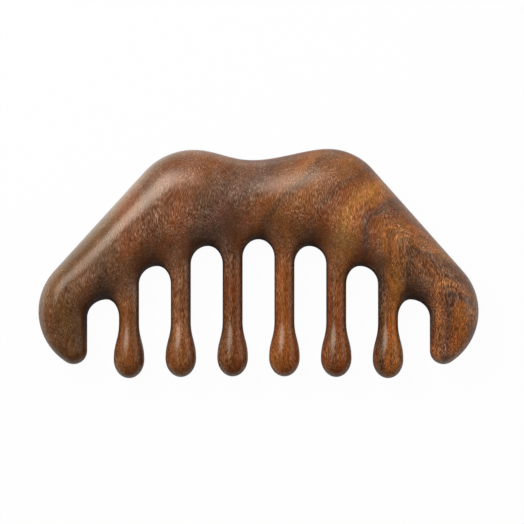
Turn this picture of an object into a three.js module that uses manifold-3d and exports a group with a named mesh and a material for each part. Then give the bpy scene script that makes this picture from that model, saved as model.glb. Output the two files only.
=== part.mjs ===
// Wide-tooth wooden comb: a carved back with two horns, and turned teeth whose round tenons are
// glued into blind holes in the back.
// Millimetres, +Z up. The comb lies flat: X runs along its length, +Y from the tooth tips to the
// back, and Z through its thickness. The origin is under its middle, on the surface it lies on.
import * as THREE from "three";
import Module from "manifold-3d";

const { lerp, smoothstep } = THREE.MathUtils;
const wasm = await Module();
wasm.setup();

// Teeth, which all come from one turning pattern and differ only in the length of their shanks
const TOOTH_COUNT = 6;
const SHANK_DIAMETER = 6.6;
const GAP = 10.45; // between two shanks, and between an end shank and its horn
const BULB_DIAMETER = 10.1;
const BULB_HEIGHT = 6.2; // from the tip to the widest level of the bulb
const NECK_HEIGHT = 18.3; // from the tip to where the shank runs straight
const NECK_FULLNESS = 0.45; // share of the neck over which its curve holds to each end's width
const TIP_ARC = 0.6; // how far the middle of the row of tips lies above its ends

// Glued joints
const TENON_DIAMETER = 4;
const TENON_LENGTH = 12;
const TENON_CHAMFER = 0.5;
const GLUE_GAP = 0.2; // round the tenon
const GLUE_WELL = 0.6; // past the end of the tenon
const COLLAR = 0.6; // straight stub of the back between the lower arch and the tooth's shoulder

// Slots between the teeth. Heights in Y are above the tips of the end teeth
const MIDDLE_SLOT_HEIGHT = 45.7; // top of the middle arch
const END_SHANK = 1; // straight part of the shortest shanks, from the neck to the shoulder
const ARCH_RISE = 6; // from the straight sides of a slot to the top of its arch
const ARCH_SKEW = 1.2; // how far the end arches peak towards the middle of the comb

// Outer edge of the back: circles joined by straight tangents, and a wave between the humps. The left
// hump and the saddle drop by a little from the height of the right hump
const HEIGHT = 75.5;
const LEFT_HUMP = { x: -21.3, drop: 0.3, radius: 21.9 };
const RIGHT_HUMP = { x: 22.8, radius: 19.6 };
const SADDLE = { x: -1.8, drop: 3.7, radius: 27 };
const HORN_WIDTH = 16.05; // from the inner edge of a horn to the comb's end
const HORN_RADIUS = 19.8;
const HORN_TIP_HEIGHT = 4.6;
const HORN_TIP_RADIUS = 4.5;

// Thickness. The back swells from the roots of the teeth to its crown, and the two faces of the
// board that it is carved from leave the crown flat
const BOARD = 18;
const SWELL = 22; // what the crown would measure in a thicker board
const SWELL_RUN = 23; // distance from the roots to the crown
const LAND_BLEND = 0.8; // easing of the crown into the board's faces
const SADDLE_HOLLOW = 3.2; // how much less the back swells on each face below the saddle
const SADDLE_SPREAD = 12;
const ARM_X = 38; // distance from the middle at which the line of roots starts to fall away to a horn
const ARM_FALL = 0.04; // how steeply it falls, per millimetre
const HORN_THICKNESS = 13.2;
const HORN_EASE = 18; // length over which the back thins out to the middle of a horn
const HORN_TIP_THICKNESS = 10.4;
const HORN_TAPER = 16; // length of a horn's taper to its tip

// Colours of the oiled wood
const BACK_COLOUR = "#6e4327";
const TOOTH_COLOUR = "#7a4523";

// Facets
const TURNING_SIDES = 16;
const CURVE_STEPS = 4;
const OUTLINE_STEPS = 10;
const CELLS_PER_PITCH = 8;
const CELLS_THROUGH_BOARD = 8;

// Values that follow from the driving dimensions
const SHANK_RADIUS = SHANK_DIAMETER / 2;
const PITCH = GAP + SHANK_DIAMETER;
const END_SLOT_X = (TOOTH_COUNT / 2) * PITCH;
const END_SLOT_HEIGHT = NECK_HEIGHT + END_SHANK + COLLAR + ARCH_RISE; // arches beside the horns
const HORN_INNER_X = END_SLOT_X + GAP / 2;
const HORN_MIDDLE_X = HORN_INNER_X + HORN_WIDTH / 2;
const HALF_LENGTH = HORN_INNER_X + HORN_WIDTH;
const STUB_OVERRUN = SHANK_DIAMETER; // the stubs are carved this much too long, and cut square

const toothX = (index) => (index - (TOOTH_COUNT - 1) / 2) * PITCH;
const slotX = (index) => (index - TOOTH_COUNT / 2) * PITCH;
const slotHeight = (x) =>
  MIDDLE_SLOT_HEIGHT - (MIDDLE_SLOT_HEIGHT - END_SLOT_HEIGHT) * (x / END_SLOT_X) ** 2;
const outerSlotX = (x) => x + Math.sign(x) * (PITCH / 2);
const shoulderHeight = (x) => slotHeight(outerSlotX(x)) - ARCH_RISE - COLLAR;
const tipHeight = (x) => TIP_ARC * (1 - (x / toothX(0)) ** 2);

// Adds arcs of circles that touch or are joined by their common tangents, walking clockwise. The first
// and the last arc stop where the outward normal has the given angles.
function addArcs(path, circles, startNormal, endNormal) {
  const tangents = circles.slice(1).map((to, i) => {
    const from = circles[i];
    const distance = Math.hypot(to.x - from.x, to.y - from.y);
    const step = from.radius - to.radius;
    const rise = Math.sqrt(Math.max(distance ** 2 - step ** 2, 0)); // none where the circles touch
    return Math.atan2(to.y - from.y, to.x - from.x) + Math.atan2(rise, step);
  });
  const normals = [startNormal, ...tangents, endNormal];
  circles.forEach(({ x, y, radius }, i) => {
    path.absarc(x, y, radius, normals[i], normals[i + 1], true);
  });
}

// Adds a wave from one level point of the edge to the next, which bends with their radii at its ends.
function addWave(path, from, to) {
  const drop = Math.abs(to.y - from.y);
  const reach = (radius) => Math.sqrt((2 / 3) * drop * radius);
  const leaving = from.x + reach(from.radius);
  const arriving = to.x - reach(to.radius);
  path.bezierCurveTo(leaving, from.y, arriving, to.y, to.x, to.y);
}

// Closed outline of the back, clockwise from the tip of the left horn: the outer edge, then the arches
// and stubs from right to left.
function backOutline() {
  const path = new THREE.Path();
  const level = ({ x, drop = 0, radius }) => ({ x, y: HEIGHT - drop, radius });
  const below = ({ x, y, radius }) => ({ x, y: y - radius, radius });
  const [leftTop, saddle, rightTop] = [LEFT_HUMP, SADDLE, RIGHT_HUMP].map(level);
  const tip = (side) => ({
    x: side * (HORN_INNER_X + HORN_TIP_RADIUS),
    y: HORN_TIP_HEIGHT + HORN_TIP_RADIUS,
    radius: HORN_TIP_RADIUS,
  });
  const horn = (side) => {
    const x = HALF_LENGTH - HORN_RADIUS;
    const reach = HORN_RADIUS - HORN_TIP_RADIUS; // the tip's round touches the horn's from inside
    const rise = Math.sqrt(reach ** 2 - (tip(1).x - x) ** 2);
    return { x: side * x, y: tip(side).y + rise, radius: HORN_RADIUS };
  };
  addArcs(path, [tip(-1), horn(-1), below(leftTop)], 0, Math.PI / 2);
  addWave(path, leftTop, saddle);
  addWave(path, saddle, rightTop);
  addArcs(path, [below(rightTop), horn(1), tip(1)], Math.PI / 2, Math.PI);
  for (let slot = TOOTH_COUNT; slot >= 0; slot--) {
    const middle = slotX(slot);
    const peakX = middle - ARCH_SKEW * (middle / END_SLOT_X);
    const springY = slotHeight(middle) - ARCH_RISE;
    const rightReach = middle + GAP / 2 - peakX;
    path.absellipse(peakX, springY, rightReach, ARCH_RISE, 0, Math.PI / 2, false);
    path.absellipse(peakX, springY, GAP - rightReach, ARCH_RISE, Math.PI / 2, Math.PI, false);
    if (slot === 0) break;
    const stubX = toothX(slot - 1);
    const stubEnd = shoulderHeight(stubX) - STUB_OVERRUN;
    path.lineTo(stubX + SHANK_RADIUS, stubEnd);
    path.lineTo(stubX - SHANK_RADIUS, stubEnd);
  }
  path.closePath();
  return path.getPoints(OUTLINE_STEPS);
}

// Distance from a point to a closed outline, positive inside it.
function insideDistance(outline, x, y) {
  let nearest = Infinity;
  let inside = false;
  outline.forEach((end, i) => {
    const start = outline.at(i - 1);
    const along = { x: end.x - start.x, y: end.y - start.y };
    const offset = { x: x - start.x, y: y - start.y };
    const length2 = along.x ** 2 + along.y ** 2;
    const share = length2 && (offset.x * along.x + offset.y * along.y) / length2;
    const held = Math.min(Math.max(share, 0), 1);
    nearest = Math.min(nearest, Math.hypot(offset.x - held * along.x, offset.y - held * along.y));
    const crosses = start.y > y !== end.y > y;
    if (crosses && x < start.x + (along.x * offset.y) / along.y) inside = !inside;
  });
  return inside ? nearest : -nearest;
}

// The lesser of two lengths, eased where they are close and exact where they are not.
function easedMinimum(a, b, ease) {
  const overlap = Math.max(ease - Math.abs(a - b), 0);
  return Math.min(a, b) - overlap ** 2 / (4 * ease);
}

// Half the thickness of the back away from its rounded edges.
function halfThickness(x, y) {
  const alongArm = Math.max(Math.abs(x) - ARM_X, 0);
  const rootHeight = slotHeight(x) - ARCH_RISE - ARM_FALL * alongArm ** 2;
  const hollow = SADDLE_HOLLOW * Math.exp(-(((x - SADDLE.x) / SADDLE_SPREAD) ** 2));
  const toHorn = smoothstep(Math.abs(x), HORN_MIDDLE_X - HORN_EASE, HORN_MIDDLE_X);
  const thick = lerp(SWELL / 2 - hollow, HORN_THICKNESS / 2, toHorn);
  const fromTip = smoothstep(y - HORN_TIP_HEIGHT - HORN_TIP_RADIUS, 0, HORN_TAPER);
  const crown = lerp(HORN_TIP_THICKNESS / 2, thick, fromTip);
  const swell = smoothstep(y - rootHeight, 0, SWELL_RUN);
  const carved = lerp(SHANK_RADIUS, crown, swell);
  return easedMinimum(carved, BOARD / 2, LAND_BLEND);
}

// Signed depth of the carved back: its edges are full rounds as thick as the wood beside them.
function backField(outline) {
  return (x, y, z) => {
    const half = halfThickness(x, y);
    const fromCore = Math.max(half - insideDistance(outline, x, y), 0);
    return Math.hypot(fromCore, z) - half;
  };
}

// Moves a point onto the surface where the field is zero, by Newton steps along its gradient.
function settle(field, point) {
  const PROBE = 1e-3;
  const NEWTON_STEPS = 3;
  for (let i = 0; i < NEWTON_STEPS; i++) {
    const [x, y, z] = point;
    const value = field(x, y, z);
    const slope = [
      (field(x + PROBE, y, z) - value) / PROBE,
      (field(x, y + PROBE, z) - value) / PROBE,
      (field(x, y, z + PROBE) - value) / PROBE,
    ];
    const steepness = slope[0] ** 2 + slope[1] ** 2 + slope[2] ** 2;
    point = point.map((v, axis) => v - (value * slope[axis]) / steepness);
  }
  return point;
}

// Closed surface where a field changes sign, as a net with one vertex in each lattice cell that it
// crosses and one quad round each lattice edge that it crosses. The lattice holds all of it.
function surfaceNet(field, lines) {
  const counts = lines.map((line) => line.length);
  const index = ([i, j, k]) => (i * counts[1] + j) * counts[2] + k;
  const place = (node) => node.map((n, axis) => lines[axis][n]);
  const values = [];
  for (const x of lines[0])
    for (const y of lines[1])
      for (const z of lines[2]) values.push(field(x, y, z));

  const AXES = [0, 1, 2];
  const moved = (node, axis, by) => node.map((n, a) => (a === axis ? n + by : n));
  const sums = new Map();
  const quads = [];
  function crossEdge(node, axis) {
    const next = moved(node, axis, 1);
    const here = values[index(node)];
    const there = values[index(next)];
    if (here < 0 === there < 0) return;
    const [a, b] = [place(node), place(next)];
    const share = here / (here - there);
    const hit = a.map((start, i) => lerp(start, b[i], share));
    const [second, third] = [(axis + 1) % 3, (axis + 2) % 3];
    const below = moved(node, third, -1);
    const cells = [moved(below, second, -1), below, node, moved(node, second, -1)].map(index);
    cells.forEach((cell) => {
      const sum = sums.get(cell) ?? { hits: 0, at: [0, 0, 0] };
      sum.hits += 1;
      sum.at = sum.at.map((s, i) => s + hit[i]);
      sums.set(cell, sum);
    });
    quads.push(here < 0 ? cells : cells.reverse());
  }
  for (let i = 0; i < counts[0]; i++)
    for (let j = 0; j < counts[1]; j++)
      for (let k = 0; k < counts[2]; k++)
        for (const axis of AXES)
          if ([i, j, k][axis] + 1 < counts[axis]) crossEdge([i, j, k], axis);

  const numbers = new Map([...sums.keys()].map((cell, number) => [cell, number]));
  const points = [...sums.values()].map(({ hits, at }) => settle(field, at.map((s) => s / hits)));
  const corners = quads.map((quad) => quad.map((cell) => numbers.get(cell)));
  return new THREE.BufferGeometry()
    .setAttribute("position", new THREE.Float32BufferAttribute(points.flat(), 3))
    .setIndex(corners.flatMap(([a, b, c, d]) => [a, b, c, a, c, d]));
}

// Evenly spaced lattice lines, one of them through a given level, that reach past both ends of a span.
function latticeLines(low, high, step, through) {
  const SPARE = 0.2; // of a cell
  const first = Math.floor((low - through) / step - SPARE);
  const last = Math.ceil((high - through) / step + SPARE);
  return Array.from({ length: last - first + 1 }, (_, i) => through + (first + i) * step);
}

// The carved back before its joints are cut.
function carvedBack() {
  const outline = backOutline();
  const heights = outline.map((point) => point.y);
  const cell = PITCH / CELLS_PER_PITCH;
  const layer = BOARD / CELLS_THROUGH_BOARD;
  return surfaceNet(backField(outline), [
    latticeLines(-HALF_LENGTH, HALF_LENGTH, cell, toothX(0)),
    latticeLines(Math.min(...heights), Math.max(...heights), cell, 0),
    latticeLines(-BOARD / 2, BOARD / 2, layer, layer / 2),
  ]);
}

// A closed three.js geometry as a solid for cutting, and back again.
function toSolid(geometry) {
  const vertProperties = new Float32Array(geometry.getAttribute("position").array);
  const triVerts = new Uint32Array(geometry.index.array);
  const mesh = new wasm.Mesh({ numProp: 3, vertProperties, triVerts });
  mesh.merge();
  return new wasm.Manifold(mesh);
}

function toGeometry(solid) {
  const { vertProperties, triVerts } = solid.getMesh();
  return new THREE.BufferGeometry()
    .setAttribute("position", new THREE.BufferAttribute(vertProperties, 3))
    .setIndex(new THREE.BufferAttribute(triVerts, 1));
}

// The back: its stubs cut square at the tooth shoulders, with a blind hole for each tenon.
function backGeometry() {
  let back = toSolid(carvedBack());
  const holeRadius = TENON_DIAMETER / 2 + GLUE_GAP;
  const holeDepth = TENON_LENGTH + GLUE_WELL;
  for (let i = 0; i < TOOTH_COUNT; i++) {
    const x = toothX(i);
    const shoulder = shoulderHeight(x);
    const waste = new THREE.BoxGeometry(PITCH, 2 * STUB_OVERRUN, BOARD);
    waste.translate(x, shoulder - STUB_OVERRUN, 0);
    const hole = new THREE.CylinderGeometry(holeRadius, holeRadius, 2 * holeDepth, TURNING_SIDES);
    hole.translate(x, shoulder, 0);
    back = back.subtract(toSolid(waste)).subtract(toSolid(hole));
  }
  return toGeometry(back);
}

// A turned tooth with its shoulder at the origin and its tenon along +Y.
function toothGeometry(length) {
  const bulbRadius = BULB_DIAMETER / 2;
  const tenonRadius = TENON_DIAMETER / 2;
  const bulbY = BULB_HEIGHT - length;
  const neckY = NECK_HEIGHT - length;
  const pull = (neckY - bulbY) * NECK_FULLNESS;
  const profile = new THREE.Path();
  profile.absellipse(0, bulbY, bulbRadius, BULB_HEIGHT, -Math.PI / 2, 0, false);
  profile.bezierCurveTo(bulbRadius, bulbY + pull, SHANK_RADIUS, neckY - pull, SHANK_RADIUS, neckY);
  profile.lineTo(SHANK_RADIUS, 0);
  profile.lineTo(tenonRadius, 0);
  profile.lineTo(tenonRadius, TENON_LENGTH - TENON_CHAMFER);
  profile.lineTo(tenonRadius - TENON_CHAMFER, TENON_LENGTH);
  profile.lineTo(0, TENON_LENGTH);
  return new THREE.LatheGeometry(profile.getPoints(CURVE_STEPS), TURNING_SIDES);
}

const oiledWood = (color) => new THREE.MeshStandardMaterial({ color, roughness: 0.42, metalness: 0 });

const comb = new THREE.Group();
comb.position.set(0, -HEIGHT / 2, BOARD / 2);

const back = new THREE.Mesh(backGeometry(), oiledWood(BACK_COLOUR));
back.name = "back";
comb.add(back);

for (let i = 0; i < TOOTH_COUNT; i++) {
  const x = toothX(i);
  const shoulder = shoulderHeight(x);
  const tooth = new THREE.Mesh(toothGeometry(shoulder - tipHeight(x)), oiledWood(TOOTH_COLOUR));
  tooth.name = `tooth_${i + 1}`;
  tooth.position.set(x, shoulder, 0);
  comb.add(tooth);
}

export default comb;
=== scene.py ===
"""Looks of a wooden wide-tooth comb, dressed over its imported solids.

The comb lies flat, with X along its length, +Y from the tooth tips to the back and Z through its
thickness. The scene is in metres. The sizes below are in millimetres, as they are on the solids.
"""

import math

import bmesh
import bpy
import numpy as np
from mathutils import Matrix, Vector


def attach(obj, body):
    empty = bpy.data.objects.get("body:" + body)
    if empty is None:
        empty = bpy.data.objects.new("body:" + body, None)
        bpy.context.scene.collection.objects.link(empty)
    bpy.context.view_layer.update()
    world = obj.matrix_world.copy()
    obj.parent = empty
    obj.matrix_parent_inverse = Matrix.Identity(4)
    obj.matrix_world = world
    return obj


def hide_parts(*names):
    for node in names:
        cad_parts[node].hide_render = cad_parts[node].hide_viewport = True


MM = 0.001

# Teeth. Towards the two faces, the neck flares sooner by its rise
TOOTH_COUNT = 6
SHANK_RADIUS = 3.3
GAP = 10.45
BULB_RADIUS = 5.05
BULB_HEIGHT = 6.2
NECK_HEIGHT = 18.3
NECK_FULLNESS = 0.45
NECK_RISE = 1.0
TIP_ARC = 0.6
TENON_RADIUS = 2.0
TENON_LENGTH = 12.0
TENON_CHAMFER = 0.5
GLUE_GAP = 0.2
COLLAR = 0.6

# Slots, with heights above the tips of the end teeth
MIDDLE_SLOT_HEIGHT = 45.7
END_SHANK = 1.0
ARCH_RISE = 6.0
ARCH_SKEW = 1.2

# Outer edge of the back: x, height and radius of its level points, and its horns
HEIGHT = 75.5
LEFT_HUMP = (-21.3, HEIGHT - 0.3, 21.9)
RIGHT_HUMP = (22.8, HEIGHT, 19.6)
SADDLE = (-1.8, HEIGHT - 3.7, 27.0)
HORN_WIDTH = 16.05
HORN_RADIUS = 19.8
HORN_TIP_HEIGHT = 4.6
HORN_TIP_RADIUS = 4.5

# Thickness. The crown is softer, the saddle shallower and the horns fuller than on the solids
BOARD = 18.0
SWELL = 22.0
SWELL_RUN = 23.0
LAND_BLEND = 2.4
SADDLE_HOLLOW = 1.5
SADDLE_SPREAD = 12.0
ARM_X = 38.0
ARM_FALL = 0.04
HORN_THICKNESS = 14.6
HORN_EASE = 24.0
HORN_TIP_THICKNESS = 10.4
HORN_TAPER = 16.0

# How far the round of the edge reaches in, as a share of half the thickness beside it. The outer
# edge has all of its share once it faces +Y by this much
SADDLE_ROUND = 1.75
HUMP_ROUND = 1.6
ARM_ROUND = 0.96
HUMP_END_X = 22.0
ARM_END_X = 56.0
FULL_FACING = 0.5

# Values that follow
PITCH = GAP + 2 * SHANK_RADIUS
END_SLOT_X = TOOTH_COUNT / 2 * PITCH
END_SLOT_HEIGHT = NECK_HEIGHT + END_SHANK + COLLAR + ARCH_RISE
ARCH_FALL = MIDDLE_SLOT_HEIGHT - END_SLOT_HEIGHT
HORN_INNER_X = END_SLOT_X + GAP / 2
HORN_MIDDLE_X = HORN_INNER_X + HORN_WIDTH / 2
HALF_LENGTH = HORN_INNER_X + HORN_WIDTH
STUB_OVERRUN = 2 * SHANK_RADIUS
TOOTH_X = [(i - (TOOTH_COUNT - 1) / 2) * PITCH for i in range(TOOTH_COUNT)]
SLOT_X = [(i - TOOTH_COUNT / 2) * PITCH for i in range(TOOTH_COUNT + 1)]

# Fineness of the meshes
ARC_STEPS = 40
TURNING_SIDES = 64
PROFILE_STEPS = 24
RING_SPACING = 2.0
LEAST_RINGS = 2
SUBDIVISIONS = 2

# Tones of the wood, as display values
TONES = {
    "umber": (80, 42, 18),
    "plum": (106, 58, 40),
    "dusk": (108, 61, 36),
    "brown": (112, 58, 20),
    "olive": (116, 70, 24),
    "russet": (136, 68, 20),
    "clay": (136, 81, 42),
    "amber": (156, 86, 26),
    "gold": (186, 114, 38),
}

# Growth bands from the left, each with its place across the rings and its tone. Those of the back
# give way to those of the teeth between these two heights from the comb's middle
BACK_BANDS = [
    (-75, "brown"), (-58, "olive"), (-49, "olive"), (-43, "russet"), (-36, "brown"),
    (-27, "russet"), (-20, "dusk"), (-12, "plum"), (-8, "brown"), (-4, "russet"), (-1, "amber"),
    (1.5, "brown"), (8.5, "amber"), (17, "brown"), (20, "russet"), (22.5, "amber"), (27, "gold"),
    (32, "amber"), (33.3, "russet"), (34.5, "plum"), (35.8, "dusk"), (38, "russet"), (41, "amber"),
    (47.2, "amber"), (48.7, "umber"), (50.2, "russet"), (55, "amber"), (58, "russet"),
    (60.5, "dusk"), (64, "amber"), (72, "russet"),
]
TOOTH_BANDS = [
    (-75, "brown"), (-64, "olive"), (-54, "brown"), (-50.5, "umber"), (-48, "brown"),
    (-45, "clay"), (-41, "clay"), (-38, "brown"), (-29, "clay"), (-25, "clay"), (-13, "brown"),
    (-9, "brown"), (-5, "russet"), (5, "amber"), (13, "amber"), (22, "russet"), (24.6, "brown"),
    (27, "russet"), (30, "amber"), (37, "russet"), (40.8, "umber"), (42.6, "amber"), (45, "gold"),
    (49, "brown"), (56, "brown"), (58.8, "amber"), (60.3, "russet"), (61.9, "plum"),
    (63.4, "russet"), (65.5, "amber"), (68.5, "amber"), (71, "plum"),
]
BACK_FROM = 9.0
TEETH_FROM = -6.0

# Below, a cell is the size of a patch of noise across the grain and along it. A ramp is a pair of
# limits, with what it gives at each of them if that isn't 0 and 1

# Course of the bands: they sway, lean to the right towards the crest and hook round on the right arm
SWAY_CELL = (22, 50)
SWAY_PUSH = (4, 3, 3)
WOBBLE_CELL = (6, 13)
WOBBLE_PUSH = 3.0
BAND_SHIFT = 3.5
CREST_LEAN_BY_HEIGHT = (14, 40, 0, 20)
CREST_LEAN_FROM_LEFT = (-44, 6)
CREST_LEAN_TO_RIGHT = (18, 58, 1, 0)
ARM_FACING = (0.755, 0.656)
HOOK_START_BY_HEIGHT = (22, 8, 39.5, 43.5)
HOOK_PULL_BY_HEIGHT = (22, 8, 0.95, 2.2)
HOOK_EASE = 4

# Figure: broad shades, fine streaks and flecks, which are stronger on the right, and patches of hue
BROAD_CELL = (8, 45)
BROAD_SHADE = (0.3, 0.7, 0.78, 1.08)
STREAK_CELL = (1.1, 16)
STREAK_SHADE = (0.35, 0.7, 1.2, 0.78)
STREAK_ROUGHNESS = 0.65
FLECK_CELL = (0.15, 1.6)
FLECK_SHADE = (0.3, 0.7, 0.7, 1.25)
FLECK_LEAN_CELL = (25, 15)
FLECK_LEAN = (8, 0, 0)
FIGURE_POWER_BY_LENGTH = (25, 62, 1.0, 2.2)
PATCH_CELL = (5, 11)
PATCH_HUE_LEAST = (0.85, 0.75, 0.55)
PATCH_HUE_SPREAD = (0.3, 0.5, 0.9)
SHADE_BY_LENGTH = (-45, 5, 0.89, 1.0)

# Pale pores, where the flecks are strongest
PORE_LIMITS = (0.46, 0.72)
PORES_BY_PATCH = (0.35, 0.65, 0.45, 1.0)
PORES_BY_LENGTH = (-62, -30, 0.6, 1.0)
PORE_GLOW = (0.34, 0.275, 0.2, 1)

# The teeth have darker wood. Shade is painted into the colour around the roots of the teeth and,
# darker still, on the sides of the slots. The level of a point is the height that it has in the middle
# of the comb once it is moved there along the line of the arches
BETWEEN_HORNS = (60, 56)
TOOTH_TINT = (0.94, 0.75, 0.5, 1)
# Painted shade around the roots of the teeth: a band above the arches, weaker on the left
ROOTS_FROM_LEVEL = (-6, 8)
ROOTS_TO_LEVEL = (23, 11)
ROOTS_BY_LENGTH = (-32, 4, 0.25, 1.0)
ROOT_PAINTED_SHADE = 0.74
SLOTS_FROM_HEIGHT = (-30, -20)
SLOTS_TO_LEVEL = (20, 9)
# Painted shade on the slot sides, by the way the surface faces, and the tint that paints it
PAINTED_SHADE_BY_FACING_TIPS = (-0.42, -0.95)
PAINTED_SHADE_BY_FACING_UP = (0.75, 0.35)
PAINTED_SHADE_TINT = (0.36, 0.3, 0.28, 1)

# Oiled finish, which is duller on the left horn, at the crest, on the teeth and where shade is painted
# on the slot sides
FLECK_RELIEF = 0.04
FLECK_RELIEF_STRENGTH = 0.15
ROUGHNESS_BY_FLECK = (0.3, 0.7, 0.28, 0.36)
TOOTH_ROUGHNESS = 0.9
SPECULAR = 0.66
SPECULAR_TINT = (1.0, 0.82, 0.62, 1)
COAT = 0.33
COAT_ROUGHNESS = 0.3
SHEEN_BY_LENGTH = (-68, -35, 0.65, 1.0)
SHEEN_BY_HEIGHT = (26, 36, 1.0, 0.52)
TOOTH_SHEEN = 0.6
# Less sheen where shade is painted on the slot sides
SHEEN_IN_PAINTED_SHADE = 0.15

# Camera, straight above the comb and a little off its middle, as in the photograph
PHOTO_LENGTH = 145
PHOTO_LENGTH_PIXELS = 440.5
PIXEL = PHOTO_LENGTH / PHOTO_LENGTH_PIXELS
IMAGE_SIZE = 524
CAMERA_RISE = 1100.0
CAMERA_X = 1.15
CAMERA_Y = 0.5

WHITE = (1, 1, 1, 1)


def slot_height(x):
    return MIDDLE_SLOT_HEIGHT - ARCH_FALL * (x / END_SLOT_X) ** 2


def shoulder_height(x):
    outer_slot = x + math.copysign(PITCH / 2, x)
    return slot_height(outer_slot) - ARCH_RISE - COLLAR


def tip_height(x):
    return TIP_ARC * (1 - (x / TOOTH_X[0]) ** 2)


def arc(centre, radii, start, turn):
    angles = start + np.linspace(0, turn, ARC_STEPS)
    x = centre[0] + radii[0] * np.cos(angles)
    y = centre[1] + radii[1] * np.sin(angles)
    return np.column_stack([x, y])


def bezier(a, b, c, d, steps):
    """Points of a cubic curve, without its first."""
    t = np.linspace(0, 1, steps)[1:, None]
    a, b, c, d = (np.array(corner) for corner in (a, b, c, d))
    return a * (1 - t) ** 3 + 3 * b * t * (1 - t) ** 2 + 3 * c * t**2 * (1 - t) + d * t**3


def linked_arcs(circles, start_normal, end_normal):
    """Arcs of circles (x, y, radius) that touch or are joined by their tangents, clockwise."""
    normals = [start_normal]
    for (x, y, radius), (next_x, next_y, next_radius) in zip(circles, circles[1:]):
        step = radius - next_radius
        rise = math.sqrt(max((next_x - x) ** 2 + (next_y - y) ** 2 - step**2, 0))
        normals.append(math.atan2(next_y - y, next_x - x) + math.atan2(rise, step))
    normals.append(end_normal)
    runs = []
    for (x, y, radius), start, end in zip(circles, normals, normals[1:]):
        runs.append(arc((x, y), (radius, radius), start, -((start - end) % math.tau)))
    return np.concatenate(runs)


def wave(start, end):
    """Edge between two of its level points, which bends with their radii at its ends."""
    drop = abs(end[1] - start[1])
    leave, arrive = (math.sqrt(2 / 3 * drop * radius) for radius in (start[2], end[2]))
    leaving = (start[0] + leave, start[1])
    arriving = (end[0] - arrive, end[1])
    return bezier(start[:2], leaving, arriving, end[:2], ARC_STEPS)


def back_outline():
    """Closed outline of the back, clockwise, as an array of points."""
    tip_x = HORN_INNER_X + HORN_TIP_RADIUS
    tip_y = HORN_TIP_HEIGHT + HORN_TIP_RADIUS
    horn_x = HALF_LENGTH - HORN_RADIUS
    horn_y = tip_y + math.sqrt((HORN_RADIUS - HORN_TIP_RADIUS) ** 2 - (tip_x - horn_x) ** 2)
    left, right = ((x, top - radius, radius) for x, top, radius in (LEFT_HUMP, RIGHT_HUMP))
    left_side = [(-tip_x, tip_y, HORN_TIP_RADIUS), (-horn_x, horn_y, HORN_RADIUS), left]
    right_side = [right, (horn_x, horn_y, HORN_RADIUS), (tip_x, tip_y, HORN_TIP_RADIUS)]
    runs = [
        linked_arcs(left_side, 0, math.pi / 2),
        wave(LEFT_HUMP, SADDLE),
        wave(SADDLE, RIGHT_HUMP),
        linked_arcs(right_side, math.pi / 2, math.pi),
    ]
    for slot in reversed(range(TOOTH_COUNT + 1)):
        middle = SLOT_X[slot]
        peak = (middle - ARCH_SKEW * middle / END_SLOT_X, slot_height(middle) - ARCH_RISE)
        right_reach = middle + GAP / 2 - peak[0]
        runs.append(arc(peak, (right_reach, ARCH_RISE), 0, math.pi / 2))
        runs.append(arc(peak, (GAP - right_reach, ARCH_RISE), math.pi / 2, math.pi / 2))
        if slot:
            stub = TOOTH_X[slot - 1]
            end = shoulder_height(stub) - STUB_OVERRUN
            runs.append(np.array([[stub + SHANK_RADIUS, end], [stub - SHANK_RADIUS, end]]))
    return np.concatenate(runs)


def smoothstep(value, low, high):
    share = np.clip((value - low) / (high - low), 0, 1)
    return share * share * (3 - 2 * share)


def half_thickness(x, y):
    """Half the thickness of the back away from its rounded edges, blended into its flat lands."""
    reach = np.abs(x)
    root = slot_height(x) - ARCH_RISE - ARM_FALL * np.maximum(reach - ARM_X, 0) ** 2
    hollow = SADDLE_HOLLOW * np.exp(-(((x - SADDLE[0]) / SADDLE_SPREAD) ** 2))
    to_horn = smoothstep(reach, HORN_MIDDLE_X - HORN_EASE, HORN_MIDDLE_X)
    thick = (SWELL / 2 - hollow) * (1 - to_horn) + HORN_THICKNESS / 2 * to_horn
    from_tip = smoothstep(y - HORN_TIP_HEIGHT - HORN_TIP_RADIUS, 0, HORN_TAPER)
    crown = HORN_TIP_THICKNESS / 2 * (1 - from_tip) + thick * from_tip
    swell = smoothstep(y - root, 0, SWELL_RUN)
    carved = SHANK_RADIUS * (1 - swell) + crown * swell
    overlap = np.maximum(LAND_BLEND - np.abs(carved - BOARD / 2), 0)
    return np.minimum(carved, BOARD / 2) - overlap**2 / (4 * LAND_BLEND)


def edge_round(x, facing):
    """Share that the round reaches in at an edge that faces +Y so far, most of all at the saddle."""
    up_hump = smoothstep(np.abs(x), 0, HUMP_END_X)
    along_arm = smoothstep(np.abs(x), HUMP_END_X, ARM_END_X)
    crest = SADDLE_ROUND + (HUMP_ROUND - SADDLE_ROUND) * up_hump
    outer = crest + (ARM_ROUND - HUMP_ROUND) * along_arm
    return 1 + (outer - 1) * smoothstep(facing, 0, FULL_FACING)


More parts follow.
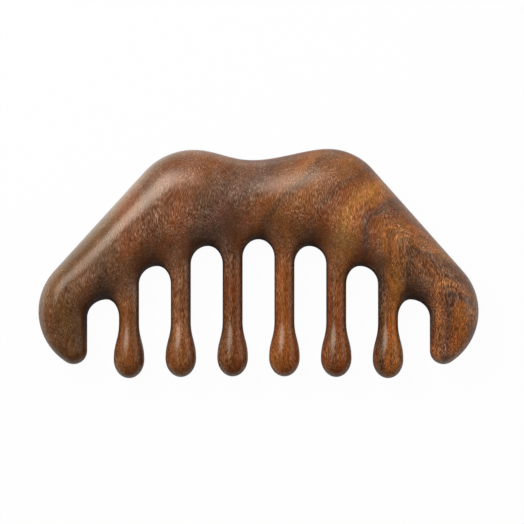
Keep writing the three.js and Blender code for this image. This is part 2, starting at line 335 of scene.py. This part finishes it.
def from_edge(points, outline):
    """Distance of each point from the outline, positive inside, and the direction inwards."""
    CHUNK = 2000
    ON_THE_EDGE = 1e-3
    LEAST_LENGTH2 = 1e-12
    start = np.roll(outline, 1, axis=0)
    along = outline - start
    length2 = np.maximum((along**2).sum(1), LEAST_LENGTH2)
    depth = np.empty(len(points))
    inwards = np.empty((len(points), 2))
    for first in range(0, len(points), CHUNK):
        part = points[first : first + CHUNK]
        offset = part[:, None] - start[None]
        share = np.clip((offset * along).sum(2) / length2, 0, 1)
        apart = offset - share[..., None] * along
        gap2 = (apart**2).sum(2)
        near = gap2.argmin(1)
        rows = np.arange(len(part))
        gap = np.sqrt(gap2[rows, near])
        normal = np.column_stack([along[near, 1], -along[near, 0]])
        normal /= np.sqrt(length2[near])[:, None]
        toward = apart[rows, near]
        inside = np.where((toward * normal).sum(1) >= 0, 1.0, -1.0)
        depth[first : first + CHUNK] = gap * inside
        clear = gap > ON_THE_EDGE
        normal[clear] = toward[clear] / gap[clear, None] * inside[clear, None]
        inwards[first : first + CHUNK] = normal
    return depth, inwards


def onto_form(points, outline):
    """Moves points near the carved surface onto it. Z is from the middle of the board."""
    PASSES = 2
    for _ in range(PASSES):
        half = half_thickness(points[:, 0], points[:, 1])
        depth, inwards = from_edge(points[:, :2], outline)
        side = np.where(points[:, 2] < 0, -1.0, 1.0)
        reach = half * edge_round(points[:, 0] - inwards[:, 0] * depth, -inwards[:, 1])
        to_core = reach - depth
        angle = np.arctan2(np.abs(points[:, 2]) / half, to_core / reach)
        on_rim = to_core > 0
        shift = np.where(on_rim, reach * (1 - np.cos(angle)) - depth, 0.0)
        height = np.where(on_rim, half * np.sin(angle), half)
        points[:, :2] += inwards * shift[:, None]
        points[:, 2] = side * height
    return points


def to_scene(points):
    """From millimetres above the tooth tips and the middle of the board to metres in the scene."""
    return (points + np.array([0, -HEIGHT / 2, BOARD / 2])) * MM


def from_scene(points):
    return points / MM - np.array([0, -HEIGHT / 2, BOARD / 2])


def is_joint_face(face):
    """True for a face of a tenon hole or of the flat seat of a tooth's shoulder."""
    SEAT_TOLERANCE = 0.01
    SEAT_FACING = -0.99
    x, y, z = from_scene(np.array(face.calc_center_median()))
    tooth = min(TOOTH_X, key=lambda at: abs(at - x))
    on_seat = abs(y - shoulder_height(tooth)) < SEAT_TOLERANCE and face.normal.y < SEAT_FACING
    beside_axis = math.hypot(x - tooth, z) < TENON_RADIUS + 2 * GLUE_GAP
    in_hole = beside_axis and y < slot_height(tooth) + ARCH_RISE
    return on_seat or in_hole


def carved_back(node):
    """A fine copy of the back whose outer faces lie on the rounded form."""
    WELD_DISTANCE = 1e-6
    bm = bmesh.new()
    corners = [bm.verts.new(vertex.co) for vertex in node.data.vertices]
    for polygon in node.data.polygons:
        bm.faces.new([corners[i] for i in polygon.vertices])
    bmesh.ops.remove_doubles(bm, verts=bm.verts, dist=WELD_DISTANCE)
    bm.normal_update()
    # The material index marks the joint faces until the others are carved
    for face in bm.faces:
        face.material_index = int(is_joint_face(face))
    for _ in range(SUBDIVISIONS):
        bmesh.ops.subdivide_edges(bm, edges=bm.edges[:], cuts=1, use_grid_fill=True)
    carved = [v for v in bm.verts if any(f.material_index == 0 for f in v.link_faces)]
    points = from_scene(np.array([v.co for v in carved]))
    for vertex, point in zip(carved, to_scene(onto_form(points, back_outline()))):
        vertex.co = point
    for face in bm.faces:
        face.material_index = 0
    mesh = bpy.data.meshes.new("back_carved")
    bm.to_mesh(mesh)
    bm.free()
    return mesh


def outer_profile(length):
    """Radius and Y of a turned tooth from its tip to its shoulder, which is at Y 0."""
    quarter = np.linspace(-math.pi / 2, 0, PROFILE_STEPS)
    bulb = BULB_HEIGHT - length
    neck = NECK_HEIGHT - length
    pull = (neck - bulb) * NECK_FULLNESS
    tip = np.column_stack([BULB_RADIUS * np.cos(quarter), bulb + BULB_HEIGHT * np.sin(quarter)])
    flare = bezier(
        (BULB_RADIUS, bulb),
        (BULB_RADIUS, bulb + pull),
        (SHANK_RADIUS, neck - pull),
        (SHANK_RADIUS, neck),
        PROFILE_STEPS,
    )
    rings = max(LEAST_RINGS, round(-neck / RING_SPACING))
    shank = np.column_stack([np.full(rings, SHANK_RADIUS), np.linspace(neck, 0, rings + 1)[1:]])
    return np.concatenate([tip, flare, shank])


def tenon_profile():
    """Radius and Y of a tenon from its tooth's shoulder to its end."""
    return np.array([
        (TENON_RADIUS, 0),
        (TENON_RADIUS, TENON_LENGTH - TENON_CHAMFER),
        (TENON_RADIUS - TENON_CHAMFER, TENON_LENGTH),
        (0, TENON_LENGTH),
    ])


def upper_radii(profile):
    """Radii of a tooth towards its upper and lower faces, where its neck flares a little sooner."""
    radius, y = profile.T
    bulb = y[PROFILE_STEPS - 1]
    above = y >= bulb
    raised = np.interp(y - NECK_RISE, y[above], radius[above])
    return np.where(above, raised, radius)


def turned_tooth(name, x):
    """A turned tooth in its place."""
    shoulder = shoulder_height(x)
    outer = outer_profile(shoulder - tip_height(x))
    tenon = tenon_profile()
    profile = np.concatenate([outer, tenon])
    upper_radius = np.concatenate([upper_radii(outer), tenon[:, 0]])
    turns = np.arange(TURNING_SIDES) * math.tau / TURNING_SIDES
    bm = bmesh.new()
    ends = [bm.verts.new((x, shoulder + y, 0)) for y in (profile[0, 1], profile[-1, 1])]
    rings = []
    for (radius, y), upper in zip(profile[1:-1], upper_radius[1:-1]):
        places = [(x + radius * math.sin(a), shoulder + y, upper * math.cos(a)) for a in turns]
        rings.append([bm.verts.new(place) for place in places])
    for i in range(TURNING_SIDES):
        j = (i + 1) % TURNING_SIDES
        bm.faces.new((ends[0], rings[0][j], rings[0][i]))
        bm.faces.new((ends[1], rings[-1][i], rings[-1][j]))
        for low, high in zip(rings, rings[1:]):
            bm.faces.new((low[i], low[j], high[j], high[i]))
    bmesh.ops.recalc_face_normals(bm, faces=bm.faces)
    for vertex in bm.verts:
        vertex.co = to_scene(np.array(vertex.co))
    mesh = bpy.data.meshes.new(name)
    bm.to_mesh(mesh)
    bm.free()
    return mesh


def add_piece(name, mesh, node, material):
    """Puts a piece in the scene in place of its solid, smooth but for its cut edges."""
    CUT_ANGLE = math.radians(50)
    piece = bpy.data.objects.new(name, mesh)
    bpy.context.collection.objects.link(piece)
    mesh.materials.append(material)
    mesh.shade_smooth()
    mesh.set_sharp_from_angle(angle=CUT_ANGLE)
    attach(piece, "root")
    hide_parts(node)


class Graph:
    """Short names for wiring the nodes of one material or world."""

    def __init__(self, owner):
        owner.use_nodes = True
        self.tree = owner.node_tree
        self.tree.nodes.clear()

    def node(self, kind, inputs=None, **settings):
        node = self.tree.nodes.new(kind)
        for key, value in settings.items():
            setattr(node, key, value)
        for key, value in (inputs or {}).items():
            self.put(node.inputs[key], value)
        return node

    def put(self, socket, value):
        if isinstance(value, bpy.types.NodeSocket):
            self.tree.links.new(value, socket)
        else:
            socket.default_value = value

    def math(self, operation, *values):
        inputs = dict(enumerate(values))
        return self.node("ShaderNodeMath", inputs, operation=operation).outputs[0]

    def product(self, first, *others):
        for other in others:
            first = self.math("MULTIPLY", first, other)
        return first

    def ramp(self, value, low, high, start=0.0, end=1.0):
        """Value eased from start at low to end at high."""
        limits = {"From Min": low, "From Max": high, "To Min": start, "To Max": end}
        inputs = {"Value": value, **limits}
        return self.node("ShaderNodeMapRange", inputs, interpolation_type="SMOOTHSTEP").outputs[0]

    def fade(self, share, end):
        """Factor eased from 1 to end as the share goes from 0 to 1."""
        return self.ramp(share, 0, 1, 1, end)

    def mix(self, share, a, b, blend="MIX"):
        node = self.node("ShaderNodeMix", data_type="RGBA", blend_type=blend)
        self.put(node.inputs["Factor"], share)
        self.put(node.inputs["A"], a)
        self.put(node.inputs["B"], b)
        return node.outputs["Result"]

    def tinted(self, colour, share, tint):
        """Colour multiplied by this share of a tint."""
        return self.mix(1.0, colour, self.mix(share, WHITE, tint), "MULTIPLY")

    def vector(self, operation, *values):
        inputs = dict(enumerate(values))
        return self.node("ShaderNodeVectorMath", inputs, operation=operation).outputs

    def multiply_add(self, vector, factors, added):
        return self.vector("MULTIPLY_ADD", vector, factors, added)["Vector"]

    def dot(self, vector, direction):
        return self.vector("DOT_PRODUCT", vector, direction)["Value"]

    def scaled(self, vector, factor):
        inputs = {0: vector, "Scale": factor}
        return self.node("ShaderNodeVectorMath", inputs, operation="SCALE").outputs[0]

    def parts(self, vector):
        return self.node("ShaderNodeSeparateXYZ", {0: vector}).outputs

    def noise(self, place, cell, detail, roughness=0.5, colour=False):
        """Noise in cells of a given size across the grain and along it."""
        across, along = cell
        cells = self.vector("MULTIPLY", place, (1 / across, 1 / along, 1 / across))["Vector"]
        inputs = {"Vector": cells, "Scale": 1.0, "Detail": detail, "Roughness": roughness}
        return self.node("ShaderNodeTexNoise", inputs).outputs[1 if colour else 0]


def srgb(red, green, blue):
    """A colour given by its display values, 0 to 255."""
    shares = [v / 255 for v in (red, green, blue)]
    linear = [s / 12.92 if s <= 0.04045 else ((s + 0.055) / 1.055) ** 2.4 for s in shares]
    return (*linear, 1.0)


def growth_rings(g, place):
    """Distance across the rings, the place with that distance for its X, and the swayed place."""
    sway = g.noise(place, SWAY_CELL, detail=1.0, colour=True)
    swayed = g.multiply_add(sway, SWAY_PUSH, place)
    x, y, z = g.parts(swayed)
    wobble = g.math("MULTIPLY", g.noise(place, WOBBLE_CELL, detail=2.0), WOBBLE_PUSH)
    right, back = ARM_FACING
    towards_arm = g.math("ADD", g.math("MULTIPLY", x, right), g.math("MULTIPLY", y, back))
    past = g.math("SUBTRACT", towards_arm, g.ramp(y, *HOOK_START_BY_HEIGHT))
    on_arm = g.math("SMOOTH_MAX", past, 0, HOOK_EASE)
    hook = g.math("MULTIPLY", on_arm, g.ramp(y, *HOOK_PULL_BY_HEIGHT))
    window = g.math("MULTIPLY", g.ramp(x, *CREST_LEAN_FROM_LEFT), g.ramp(x, *CREST_LEAN_TO_RIGHT))
    lean = g.math("MULTIPLY", g.ramp(y, *CREST_LEAN_BY_HEIGHT), window)
    shift = g.math("ADD", g.math("ADD", lean, hook), BAND_SHIFT)
    across = g.math("SUBTRACT", g.math("ADD", x, wobble), shift)
    grain = g.node("ShaderNodeCombineXYZ", {"X": across, "Y": y, "Z": z}).outputs[0]
    return across, grain, swayed


def banded(g, across, bands):
    """Colour of growth bands by the distance across them."""
    low, high = bands[0][0], bands[-1][0]
    inputs = {"Value": across, "From Min": low, "From Max": high}
    share = g.node("ShaderNodeMapRange", inputs).outputs[0]
    node = g.node("ShaderNodeValToRGB", {0: share})
    stops = node.color_ramp.elements
    for _ in bands[2:]:
        stops.new(0.5)
    for stop, (at, tone) in zip(stops, bands):
        stop.position = (at - low) / (high - low)
        stop.color = srgb(*TONES[tone])
    return node.outputs[0]


def dark_shares(g, length, height):
    """Shares by which a point is on a tooth, and of the shade painted around the roots of the teeth and
    on a slot's sides.
    """
    between_horns = g.ramp(g.math("ABSOLUTE", length), *BETWEEN_HORNS)
    reach = g.math("DIVIDE", length, END_SLOT_X)
    level = g.math("MULTIPLY_ADD", g.math("MULTIPLY", reach, reach), ARCH_FALL, height)
    on_teeth = g.product(g.ramp(level, BACK_FROM, TEETH_FROM), between_horns)
    near_roots = g.product(g.ramp(level, *ROOTS_FROM_LEVEL), g.ramp(level, *ROOTS_TO_LEVEL))
    roots = g.product(near_roots, g.ramp(length, *ROOTS_BY_LENGTH), between_horns)
    slots = g.product(g.ramp(height, *SLOTS_FROM_HEIGHT), g.ramp(level, *SLOTS_TO_LEVEL), between_horns)
    facing = g.parts(g.node("ShaderNodeNewGeometry").outputs["Normal"])
    # Painted shade on the slot sides: darkest where the surface faces the tips or turns sideways
    shade_facing_tips = g.ramp(facing["Y"], *PAINTED_SHADE_BY_FACING_TIPS)
    sides = g.ramp(g.math("ABSOLUTE", facing["Z"]), *PAINTED_SHADE_BY_FACING_UP)
    painted_shade = g.product(g.math("MAXIMUM", shade_facing_tips, sides), slots)
    return on_teeth, roots, painted_shade


def oiled_wood():
    """Oiled brown hardwood with its grain along Y, as one block that all the pieces are cut from."""
    material = bpy.data.materials.new("oiled_wood")
    g = Graph(material)
    place = g.scaled(g.node("ShaderNodeTexCoord").outputs["Object"], 1 / MM)
    length, height, _ = g.parts(place)
    across, grain, swayed = growth_rings(g, place)
    # Shares of the teeth's darker wood and of the shade painted around the roots and on the slot sides
    on_teeth, roots, painted_shade = dark_shares(g, length, height)

    broad = g.noise(grain, BROAD_CELL, detail=2.0)
    streak = g.noise(grain, STREAK_CELL, detail=3.0, roughness=STREAK_ROUGHNESS)
    patch = g.noise(swayed, PATCH_CELL, detail=2.0, colour=True)
    fleck_lean = g.noise(place, FLECK_LEAN_CELL, detail=1.0, colour=True)
    leaning = g.multiply_add(fleck_lean, FLECK_LEAN, swayed)
    fleck = g.noise(leaning, FLECK_CELL, detail=1.0)

    on_back = g.ramp(height, TEETH_FROM, BACK_FROM)
    base = g.mix(on_back, banded(g, across, TOOTH_BANDS), banded(g, across, BACK_BANDS))
    base = g.scaled(base, g.ramp(broad, *BROAD_SHADE))
    figure = g.product(g.ramp(streak, *STREAK_SHADE), g.ramp(fleck, *FLECK_SHADE))
    base = g.scaled(base, g.math("POWER", figure, g.ramp(length, *FIGURE_POWER_BY_LENGTH)))
    base = g.scaled(base, g.ramp(length, *SHADE_BY_LENGTH))
    hue = g.multiply_add(patch, PATCH_HUE_SPREAD, PATCH_HUE_LEAST)
    base = g.mix(1.0, base, hue, "MULTIPLY")

    crowded = g.product(g.ramp(g.parts(patch)["Z"], *PORES_BY_PATCH), g.ramp(length, *PORES_BY_LENGTH))
    base = g.mix(g.product(g.ramp(fleck, *PORE_LIMITS), crowded), base, PORE_GLOW, "ADD")

    base = g.tinted(base, on_teeth, TOOTH_TINT)
    # Painted shade around the roots of the teeth
    base = g.scaled(base, g.fade(roots, ROOT_PAINTED_SHADE))
    # Painted shade on the slot sides
    base = g.tinted(base, painted_shade, PAINTED_SHADE_TINT)

    relief = {"Strength": FLECK_RELIEF_STRENGTH, "Distance": FLECK_RELIEF * MM, "Height": fleck}
    sheen = g.product(
        g.ramp(length, *SHEEN_BY_LENGTH),
        g.fade(painted_shade, SHEEN_IN_PAINTED_SHADE),
        g.fade(on_teeth, TOOTH_SHEEN),
        g.ramp(height, *SHEEN_BY_HEIGHT),
    )
    roughness = g.product(g.ramp(fleck, *ROUGHNESS_BY_FLECK), g.fade(on_teeth, TOOTH_ROUGHNESS))
    shader = g.node(
        "ShaderNodeBsdfPrincipled",
        {
            "Base Color": base,
            "Roughness": roughness,
            "Normal": g.node("ShaderNodeBump", relief).outputs[0],
            "Specular IOR Level": g.math("MULTIPLY", sheen, SPECULAR),
            "Specular Tint": SPECULAR_TINT,
            "Coat Weight": g.math("MULTIPLY", sheen, COAT),
            "Coat Roughness": COAT_ROUGHNESS,
        },
    )
    g.node("ShaderNodeOutputMaterial", {"Surface": shader.outputs[0]})
    return material


def pale_floor():
    """Floor that the camera sees as white, with a trace of the comb's shadow.

    Reflections show it pale too, with a brighter card on it behind the comb's left shoulder. It
    throws little light back up onto the comb.
    """
    SHARE_LIT = 0.97
    TONE_AS_LIGHT = 0.12
    TONE_IN_VIEW = 0.95
    CARD_TOWARDS = (-0.6, 0.8, 0)
    CARD_EDGE = (0.03, 0.07)
    CARD_LIGHT = (2.05, 2.25, 2.15, 1)
    material = bpy.data.materials.new("pale_floor")
    g = Graph(material)
    rays = g.node("ShaderNodeLightPath").outputs
    mirrored = rays["Is Glossy Ray"]
    seen = g.math("MAXIMUM", rays["Is Camera Ray"], rays["Is Transmission Ray"])
    in_view = g.math("MAXIMUM", seen, mirrored)
    tone = g.ramp(in_view, 0, 1, TONE_AS_LIGHT, TONE_IN_VIEW)
    plain = g.node("ShaderNodeBsdfDiffuse", {"Color": tone}).outputs[0]
    behind = g.dot(g.node("ShaderNodeTexCoord").outputs["Object"], CARD_TOWARDS)
    card = g.product(mirrored, g.ramp(behind, *CARD_EDGE))
    light = g.mix(mirrored, WHITE, CARD_LIGHT)
    white = g.node("ShaderNodeEmission", {"Color": light}).outputs[0]
    lit = g.product(g.math("MAXIMUM", seen, card), SHARE_LIT)
    both = g.node("ShaderNodeMixShader", {0: lit, 1: plain, 2: white}).outputs[0]
    g.node("ShaderNodeOutputMaterial", {"Surface": both})
    return material


def add_floor():
    REACH = 2.0
    mesh = bpy.data.meshes.new("floor")
    corners = [(-REACH, -REACH, 0), (REACH, -REACH, 0), (REACH, REACH, 0), (-REACH, REACH, 0)]
    mesh.from_pydata(corners, [], [(0, 1, 2, 3)])
    mesh.materials.append(pale_floor())
    floor = bpy.data.objects.new("floor", mesh)
    bpy.context.collection.objects.link(floor)


def add_world():
    """Dim studio with a pale wall behind the comb's left shoulder, and white in the camera's view."""
    AMBIENT = 0.07
    WALL = 0.6
    WALL_TOWARDS = (-0.5, 0.84, -0.2)
    WALL_EDGE = (0.1, 0.9)
    world = bpy.data.worlds.new("studio")
    g = Graph(world)
    towards_wall = g.dot(g.node("ShaderNodeTexCoord").outputs["Generated"], WALL_TOWARDS)
    wall = g.ramp(towards_wall, *WALL_EDGE, AMBIENT, WALL)
    in_view = g.node("ShaderNodeLightPath").outputs["Is Camera Ray"]
    strength = g.node("ShaderNodeMapRange", {"Value": in_view, "To Min": wall, "To Max": 1.0})
    background = g.node("ShaderNodeBackground", {"Color": WHITE, "Strength": strength.outputs[0]})
    g.node("ShaderNodeOutputWorld", {"Surface": background.outputs[0]})
    bpy.context.scene.world = world


def add_softbox(name, azimuth, tilt, distance, width, height, radiance):
    """A light that faces the comb. Azimuth is from +X, and tilt from straight above."""
    around = math.radians(azimuth)
    down = math.radians(tilt)
    aside = math.sin(down)
    towards = Vector((aside * math.cos(around), aside * math.sin(around), math.cos(down)))
    data = bpy.data.lights.new(name, "AREA")
    data.shape = "RECTANGLE"
    data.size = width
    data.size_y = height
    data.energy = radiance * math.pi * width * height
    light = bpy.data.objects.new(name, data)
    light.location = towards * distance
    light.rotation_euler = (-towards).to_track_quat("-Z", "Y").to_euler()
    bpy.context.collection.objects.link(light)


def add_camera():
    SENSOR_WIDTH = 36
    FARTHEST = 20
    data = bpy.data.cameras.new("camera")
    data.sensor_width = SENSOR_WIDTH
    data.lens = SENSOR_WIDTH * CAMERA_RISE / (PIXEL * IMAGE_SIZE)
    data.clip_end = FARTHEST
    camera = bpy.data.objects.new("camera", data)
    camera.location = Vector((CAMERA_X, CAMERA_Y, BOARD / 2 + CAMERA_RISE)) * MM
    bpy.context.collection.objects.link(camera)
    bpy.context.scene.camera = camera


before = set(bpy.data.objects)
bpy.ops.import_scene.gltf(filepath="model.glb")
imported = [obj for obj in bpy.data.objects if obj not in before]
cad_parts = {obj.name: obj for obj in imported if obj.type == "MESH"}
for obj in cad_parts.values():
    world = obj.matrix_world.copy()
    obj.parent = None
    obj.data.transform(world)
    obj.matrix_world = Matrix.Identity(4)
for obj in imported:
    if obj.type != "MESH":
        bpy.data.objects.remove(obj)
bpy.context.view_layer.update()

wood = oiled_wood()
add_piece("back_carved", carved_back(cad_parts["back"]), "back", wood)
for number, tooth_x in enumerate(TOOTH_X, start=1):
    title = f"tooth_{number}_turned"
    add_piece(title, turned_tooth(title, tooth_x), f"tooth_{number}", wood)

add_floor()
add_world()
add_softbox("key", azimuth=134, tilt=38, distance=1.0, width=0.68, height=0.6, radiance=6.25)
add_softbox("side", azimuth=10, tilt=66, distance=1.0, width=0.8, height=0.8, radiance=1.0)
add_camera()
bpy.context.scene.view_settings.view_transform = "Standard"
